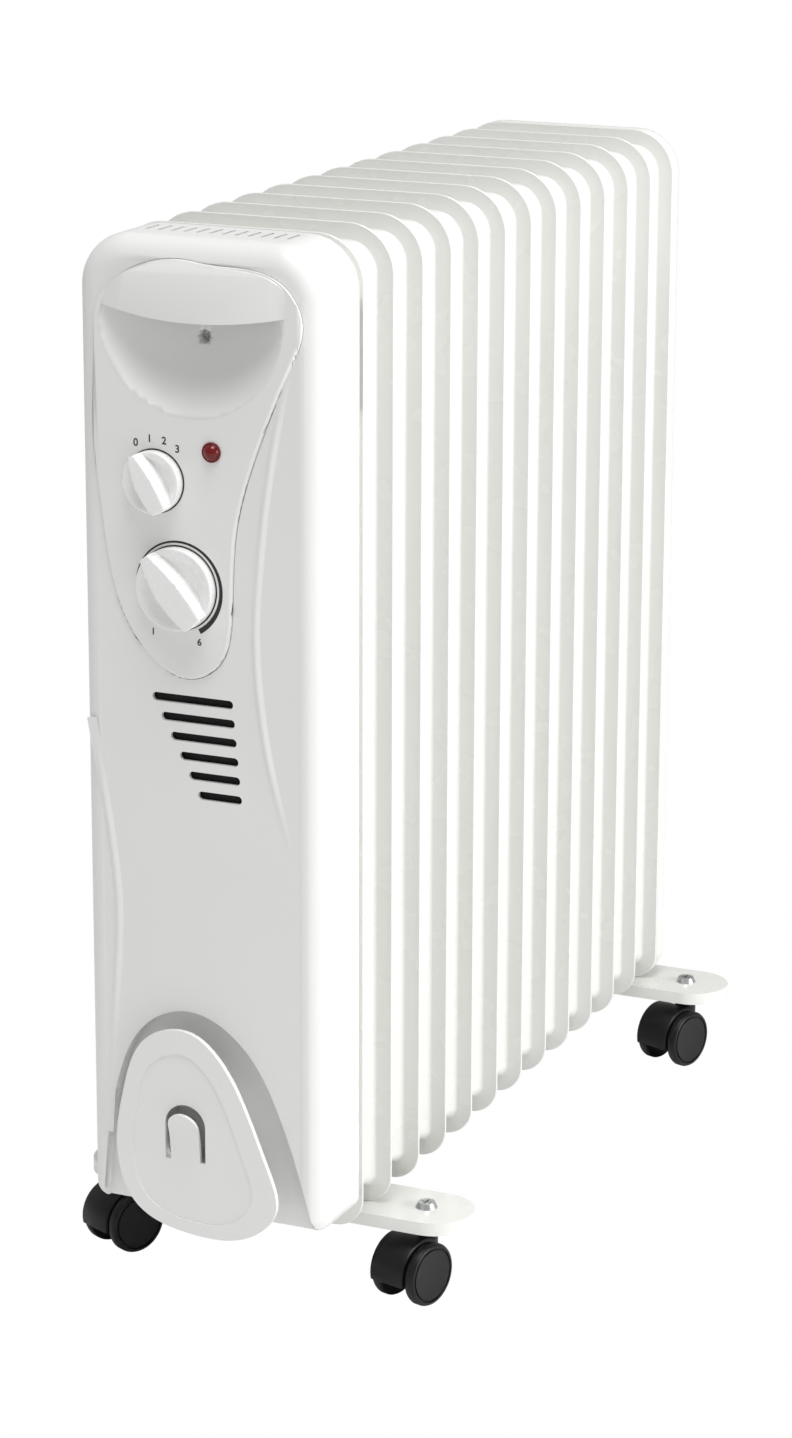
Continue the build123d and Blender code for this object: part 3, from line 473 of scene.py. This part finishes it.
# ---- marks on the panel: printed figures and scale arc, and a dark ring round each knob's foot ----
markings = {"knobGap": 0.5 * mm, "markingLift": 0.06 * mm, "ringInset": 0.2 * mm, "ringWidth": 0.85 * mm,
          "arcStart": -139, "arcEnd": 151, "arcInner": 25.4 * mm, "arcThin": 0.7 * mm, "arcThick": 3.0 * mm,
          "positions": {"0": -29.5, "1": -7.4, "2": 14.6, "3": 36.7}, "markRadius": 23.5 * mm,
          "markSize": 6.0 * mm, "scale": {"1": (-15.7, -26.5), "6": (12.9, -29.8)}, "scaleSize": 5.4 * mm,
          "inkDepth": 0.01 * mm, "inkSpread": 0.12 * mm}


def panelFace(node):
    return span(node)[1].y + markings["knobGap"] - markings["markingLift"]


def arcBand(name, centre, inner, start, end, thickness, steps=96):
    # flat band round a centre, seen from the front; angles clockwise from straight up
    bm = bmesh.new()
    first, second = (bm.verts.new((centre.x, centre.y, centre.z + r)) for r in (inner, inner + 1 * mm))
    edge = bm.edges.new((first, second))
    geom = [first, second, edge]
    bmesh.ops.rotate(bm, cent=centre, matrix=Matrix.Rotation(math.radians(start), 3, "Y"),
                     verts=[first, second])
    bmesh.ops.spin(bm, geom=geom, cent=centre, axis=(0, 1, 0), angle=math.radians(end - start), steps=steps)
    for v in bm.verts:
        arm = v.co - centre
        if arm.length > inner + 0.5 * mm:
            turn = (math.degrees(math.atan2(arm.x, arm.z)) - start) % 360 / (end - start)
            v.co = centre + arm.normalized() * (inner + thickness(min(turn, 1.0)))
    return finishPiece(name, bm, "heater", darkMarking)


def figure(name, text, size, x, y, z):
    curve = bpy.data.curves.new(name, "FONT")
    curve.body, curve.size, curve.align_x, curve.align_y = text, size, "CENTER", "CENTER"
    curve.extrude, curve.offset = markings["inkDepth"], markings["inkSpread"]
    source = bpy.data.objects.new(name + "Line", curve)
    bpy.context.scene.collection.objects.link(source)
    bpy.context.view_layer.update()
    mesh = bpy.data.meshes.new_from_object(source.evaluated_get(bpy.context.evaluated_depsgraph_get()))
    bpy.data.objects.remove(source)
    mesh.transform(Matrix.Translation((x, y, z)) @ Matrix.Rotation(math.pi / 2, 4, "X"))
    mesh.materials.clear()
    mesh.materials.append(darkMarking)
    piece = bpy.data.objects.new(name, mesh)
    bpy.context.scene.collection.objects.link(piece)
    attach(piece, "heater")
    return piece


def panelMarkings():
    dial = middle("thermostat_knob")
    dial.y = panelFace("thermostat_knob")
    grow = markings["arcThick"] - markings["arcThin"]
    arcBand("scaleArc", dial, markings["arcInner"], markings["arcStart"], markings["arcEnd"],
            lambda part: markings["arcThin"] + grow * part * part)
    # a dark ring on the panel round the foot of each knob
    for node in knobs:
        centre = middle(node)
        centre.y = panelFace(node)
        radius = (span(node)[1].x - span(node)[0].x) / 2
        arcBand("baseRing." + node, centre, radius - markings["ringInset"], 0, 360,
                lambda part: markings["ringWidth"])
    switch = middle("switch_knob")
    for text, angle in markings["positions"].items():
        turn = math.radians(angle)
        figure("mark" + text, text, markings["markSize"], switch.x + markings["markRadius"] * math.sin(turn),
               panelFace("switch_knob"), switch.z + markings["markRadius"] * math.cos(turn))
    for text, (x, z) in markings["scale"].items():
        figure("scale" + text, text, markings["scaleSize"], dial.x + x * mm, dial.y, dial.z + z * mm)
    print("printed marks")


# ---- casters ----
caster = {"wheelRadius": 19 * mm, "hoodRadius": 20.3 * mm, "hoodHalf": 9 * mm, "overWheel": 16 * mm,
          "shell": 1.1 * mm, "soft": 1.6 * mm, "softShare": 0.3, "hubRadius": 1.5 * mm, "startAngle": -30,
          "endAngle": 192, "steps": 44, "neckRadius": 7 * mm, "neckDrop": 12 * mm, "neckSegments": 36,
          "neckSoft": 0.8 * mm, "wheelInner": 9.4 * mm, "wheelWidth": 6.6 * mm, "wheelSteps": 64}
casterTurns = {"front_left": -26, "front_right": -16, "rear_left": -16, "rear_right": -18}


def casterFrame(corner):
    # matrix whose X runs along the axle, Y towards the stem and Z up, at the axle's middle
    low, high = span("caster_axle_" + corner)
    turn = Matrix.Rotation(math.radians(casterTurns[corner]), 4, "Z")
    return Matrix.Translation((low + high) / 2) @ turn


def arcSpin(bm, points, steps, start=0.0, end=360.0):
    # spins (radius, along) points about X; angles from the stem side (+Y) up over the top
    whole = abs(end - start) >= 360
    a = math.radians(start)
    line = [bm.verts.new((s, r * math.cos(a), r * math.sin(a))) for r, s in points]
    edges = [bm.edges.new(pair) for pair in zip(line, line[1:])]
    bmesh.ops.spin(bm, geom=line + edges, cent=(0, 0, 0), axis=(1, 0, 0), angle=math.radians(end - start),
                   steps=steps, use_merge=whole)
    bmesh.ops.remove_doubles(bm, verts=bm.verts, dist=mend["weld"])


def casterHood(corner):
    # cap over the left wheel and the middle, open below, with the swivel neck behind it
    r, soft, shell, hub = (caster[k] for k in ("hoodRadius", "soft", "shell", "hubRadius"))
    left, right, cut = -caster["overWheel"], caster["hoodHalf"], soft * caster["softShare"]
    outer = [(hub, left), (r - soft, left), (r - cut, left + cut), (r, left + soft),
             (r, right - soft), (r - cut, right - cut), (r - soft, right), (r - 3 * soft, right)]
    inner = [(r - 3 * soft, right - shell), (r - shell, right - shell), (r - shell, left + shell),
             (hub, left + shell)]
    bm = bmesh.new()
    arcSpin(bm, outer + inner + outer[:1], caster["steps"], caster["startAngle"], caster["endAngle"])
    ends = [e for e in bm.edges if e.is_boundary]
    bmesh.ops.holes_fill(bm, edges=ends)
    bmesh.ops.transform(bm, matrix=casterFrame(corner), verts=bm.verts)
    joint = next(j for j in frame["record"]["behaviour"]["joints"] if j["name"] == f"caster_{corner}_swivel")
    stemX, stemY = joint["pos_m"][:2]
    neckZ = span("caster_hood_" + corner)[1].z - caster["neckDrop"] / 2
    made = bmesh.ops.create_cone(bm, cap_ends=True, segments=caster["neckSegments"],
                                 radius1=caster["neckRadius"], radius2=caster["neckRadius"],
                                 depth=caster["neckDrop"],
                                 matrix=Matrix.Translation((stemX, stemY, neckZ)))["verts"]
    rim = [e for e in {e for v in made for e in v.link_edges} if e.calc_face_angle(0) > 1]
    bmesh.ops.bevel(bm, geom=rim, offset=caster["neckSoft"], segments=3, profile=0.5, affect="EDGES",
                    material=-1)
    return finishPiece("hoodShell." + corner, bm, "caster_" + corner, black,
                       ["caster_hood_" + corner])


def casterWheel(corner, side):
    # disc with a rounded tread; the outer face has a rim groove and a raised middle
    node = f"caster_wheel_{corner}_{side}"
    flip = -1 if side == "a" else 1
    inner, r = caster["wheelInner"], caster["wheelRadius"]
    face = inner + caster["wheelWidth"]
    profile = [(0.0, inner), (r - 1.6 * mm, inner), (r - 0.5 * mm, inner + 0.4 * mm), (r, inner + 1.4 * mm),
               (r, face - 1.8 * mm), (r - 0.5 * mm, face - 0.7 * mm), (r - 1.5 * mm, face - 0.1 * mm),
               (r - 2.4 * mm, face), (r - 2.8 * mm, face - 0.9 * mm), (r - 3.4 * mm, face - 0.9 * mm),
               (r - 3.8 * mm, face - 0.1 * mm), (r * 0.45, face - 0.5 * mm), (0.0, face - 0.5 * mm)]
    bm = bmesh.new()
    arcSpin(bm, [(radius, along * flip) for radius, along in profile], caster["wheelSteps"])
    bmesh.ops.transform(bm, matrix=casterFrame(corner), verts=bm.verts)
    return finishPiece("disc." + corner + "_" + side, bm, f"wheel_{corner}_{side}", black,
                       [node], sharpAngle=50)


def casters():
    for corner in casterTurns:
        casterHood(corner)
        casterWheel(corner, "a")
        casterWheel(corner, "b")
    print("casters")


# ---- relief of the housing's front, and painted shade behind its vents and under its top slits ----
# points are (across, up) in mm from the middle of the floor, seen from the front
relief = {"right": ((62, 594), (52, 553), (42, 501), (37, 455), (34, 413), (39, 362), (49, 318), (60, 282)),
          "left": ((-68, 360), (-60, 315), (-54, 274), (-52, 243), (-56, 189), (-62, 112)),
          "halfWidth": 3.2 * mm, "height": 1.3 * mm, "steps": 90, "stepsAcross": 12, "fade": 0.22,
          "sunk": 0.05 * mm}
# sizes of the dark plates that paint the shade inside the housing, behind the front vents and under the top
# slits
shade = {"thickness": 0.5 * mm, "depth": 4.5 * mm, "ventWidth": 80 * mm, "ventHeight": 86 * mm,
         "ventMiddle": 349 * mm, "slitWidth": 104 * mm, "slitLength": 20 * mm, "slitBack": 16 * mm}


def smoothLine(points, steps):
    # evenly spaced points of a soft curve through the given ones
    curve = bpy.data.curves.new("line", "CURVE")
    curve.dimensions = "3D"
    spline = curve.splines.new("NURBS")
    spline.points.add(len(points) - 1)
    for point, (x, z) in zip(spline.points, points):
        point.co = (x * mm, 0, z * mm, 1)
    spline.order_u, spline.use_endpoint_u, spline.resolution_u = 3, True, steps // len(points)
    holder = bpy.data.objects.new("line", curve)
    mesh = bpy.data.meshes.new_from_object(holder)
    spots = [v.co.copy() for v in mesh.vertices]
    bpy.data.objects.remove(holder)
    return spots


def ridge(name, points):
    # low rounded ridge on the front that fades out at both ends
    front = span("housing")[0].y
    spots = smoothLine(points, relief["steps"])
    last = len(spots) - 1
    bm = bmesh.new()
    bmesh.ops.create_grid(bm, x_segments=last, y_segments=relief["stepsAcross"], size=1)
    for v in bm.verts:
        along, side = round((v.co.x + 1) / 2 * last), v.co.y
        run = (spots[min(along + 1, last)] - spots[max(along - 1, 0)]).normalized()
        part = along / last
        fade = smooth(part, 0, relief["fade"]) * smooth(1 - part, 0, relief["fade"])
        lift = relief["height"] * fade * (1 - side * side) ** 2
        v.co = spots[along] + Vector((run.z, 0, -run.x)) * side * relief["halfWidth"]
        v.co.y = front + relief["sunk"] - lift
    return finishPiece("ridge." + name, bm, "heater", white)


def housingFront():
    for name in ("right", "left"):
        ridge(name, relief[name])
    low, high = span("housing")
    # dark plates behind the vents and under the top slits: painted shade standing in for the housing's inside
    for name, size, spot in (
            ("vents", (shade["ventWidth"], shade["thickness"], shade["ventHeight"]),
             (0, low.y + shade["depth"], shade["ventMiddle"])),
            ("slits", (shade["slitWidth"], shade["slitLength"], shade["thickness"]),
             (0, high.y - shade["slitBack"], high.z - shade["depth"]))):
        bm = bmesh.new()
        bmesh.ops.create_cube(bm, size=1)
        bmesh.ops.scale(bm, vec=size, verts=bm.verts)
        bmesh.ops.translate(bm, vec=spot, verts=bm.verts)
        finishPiece("shade." + name, bm, "heater", darkPartsAndShade)
    print("housing front")


# ---- stage, light and camera ----
studio = {"ambient": 0.46, "floorSize": 6.0, "floorGlow": 1.0,
          "keyLight": {"spot": (4.4, 0.1, 1.3), "size": 1.6, "power": 105},
          "topLight": {"spot": (0.6, -0.9, 3.4), "size": 1.6, "power": 60},
          "eye": (0.98315, -2.19814, 0.97154), "heading": 24.174, "pitch": 15.648, "roll": 0.193,
          "lens": 100.99}


def areaLight(name, spot, size, power):
    data = bpy.data.lights.new(name, "AREA")
    data.energy, data.size = power, size
    lamp = bpy.data.objects.new(name, data)
    lamp.location = spot
    lamp.rotation_euler = (Vector((0, 0, 0.32)) - Vector(spot)).to_track_quat("-Z", "Y").to_euler()
    bpy.context.scene.collection.objects.link(lamp)


def stageAndLight():
    bm = bmesh.new()
    bmesh.ops.create_grid(bm, x_segments=1, y_segments=1, size=studio["floorSize"])
    mesh = bpy.data.meshes.new("floor")
    bm.to_mesh(mesh)
    bm.free()
    floor = bpy.data.objects.new("floor", mesh)
    bpy.context.scene.collection.objects.link(floor)
    finish = Finish("paleFloor")
    finish.set(Base_Color=finish.blend(finish.noise(3, 2), (0.93, 0.93, 0.93), (0.95, 0.95, 0.95)),
               Roughness=0.9)
    seen = finish.add("ShaderNodeLightPath", output="Is Camera Ray")
    glow = finish.add("ShaderNodeEmission", {"Color": (1, 1, 1, 1), "Strength": 1.0})
    plain = Wire(finish, finish.shader.outputs[0])
    mixed = finish.add("ShaderNodeMixShader", {0: seen * studio["floorGlow"], 1: plain, 2: glow})
    finish.feed(finish.nodes["Material Output"].inputs["Surface"], mixed)
    mesh.materials.append(finish.material)

    world = bpy.data.worlds.new("studio")
    world.use_nodes = True
    bpy.context.scene.world = world
    tree = world.node_tree
    path = tree.nodes.new("ShaderNodeLightPath")
    direct = tree.nodes.new("ShaderNodeMath")
    direct.operation = "MAXIMUM"
    tree.links.new(path.outputs["Is Camera Ray"], direct.inputs[0])
    tree.links.new(path.outputs["Is Transmission Ray"], direct.inputs[1])
    strength = tree.nodes.new("ShaderNodeMapRange")
    strength.inputs["To Min"].default_value, strength.inputs["To Max"].default_value = studio["ambient"], 1.0
    tree.links.new(direct.outputs[0], strength.inputs["Value"])
    tree.nodes["Background"].inputs["Color"].default_value = (1, 1, 1, 1)
    tree.links.new(strength.outputs["Result"], tree.nodes["Background"].inputs["Strength"])
    for name in ("keyLight", "topLight"):
        areaLight(name, **studio[name])
    print("stage and light")


def cameraView():
    heading, pitch, roll = (math.radians(studio[k]) for k in ("heading", "pitch", "roll"))
    data = bpy.data.cameras.new("view")
    data.sensor_fit, data.sensor_height, data.lens = "VERTICAL", 36, studio["lens"]
    data.clip_start, data.clip_end = 0.1, 50
    camera = bpy.data.objects.new("view", data)
    camera.matrix_world = (Matrix.Translation(studio["eye"]) @ Matrix.Rotation(heading, 4, "Z")
                           @ Matrix.Rotation(math.pi / 2 - pitch, 4, "X") @ Matrix.Rotation(roll, 4, "Z"))
    bpy.context.scene.collection.objects.link(camera)
    bpy.context.scene.camera = camera
    print("camera")


# ---- the heater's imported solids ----
panelRim = {"width": 2 * mm, "segments": 5, "sharpAngle": 30, "front": -276.25 * mm}
carried = {
    "housing": (white, "white_plastic", 0), "control_panel": (white, "white_plastic", *panelRim.values()),
    "winder_plate": (white, "white_plastic", 1.1 * mm), "winder_hub": (white, "white_plastic", 0.4 * mm),
    "front_bracket": (enamel, "fin_enamel", 1.4 * mm), "rear_bracket": (enamel, "fin_enamel", 1.4 * mm)}
dressed = {
    "collector_caps": enamel, "heating_element": dark, "element_flange": zinc, "heat_shield": enamel,
    "housing_screws": zinc, "panel_screw": zinc, "indicator_lens": lensRed, "neon_lamp": glass,
    "switch_body": darkPartsAndShade, "switch_shaft": zinc, "thermostat_body": darkPartsAndShade, "thermostat_shaft": zinc,
    "thermal_cutout": darkPartsAndShade, "terminal_block": darkPartsAndShade, "cord_gland": white, "u_bolts": zinc,
    "wing_nuts": zinc, "caster_stems": dark, "stem_nuts": zinc}


def dressSolids():
    for node, settings in carried.items():
        softened(node, *settings)
    for node, piece in nodes.items():
        material = dressed.get(node) or (zinc if node.startswith("caster_axle") else None)
        if material:
            piece.data.materials.clear()
            piece.data.materials.append(material)
    print("packed solids dressed")


bpy.context.scene.view_settings.view_transform = "Standard"
cameraView()
stageAndLight()
dressSolids()
fins()
rearCover()
turningKnobs()
panelMarkings()
housingFront()
casters()

bpy.context.view_layer.update()
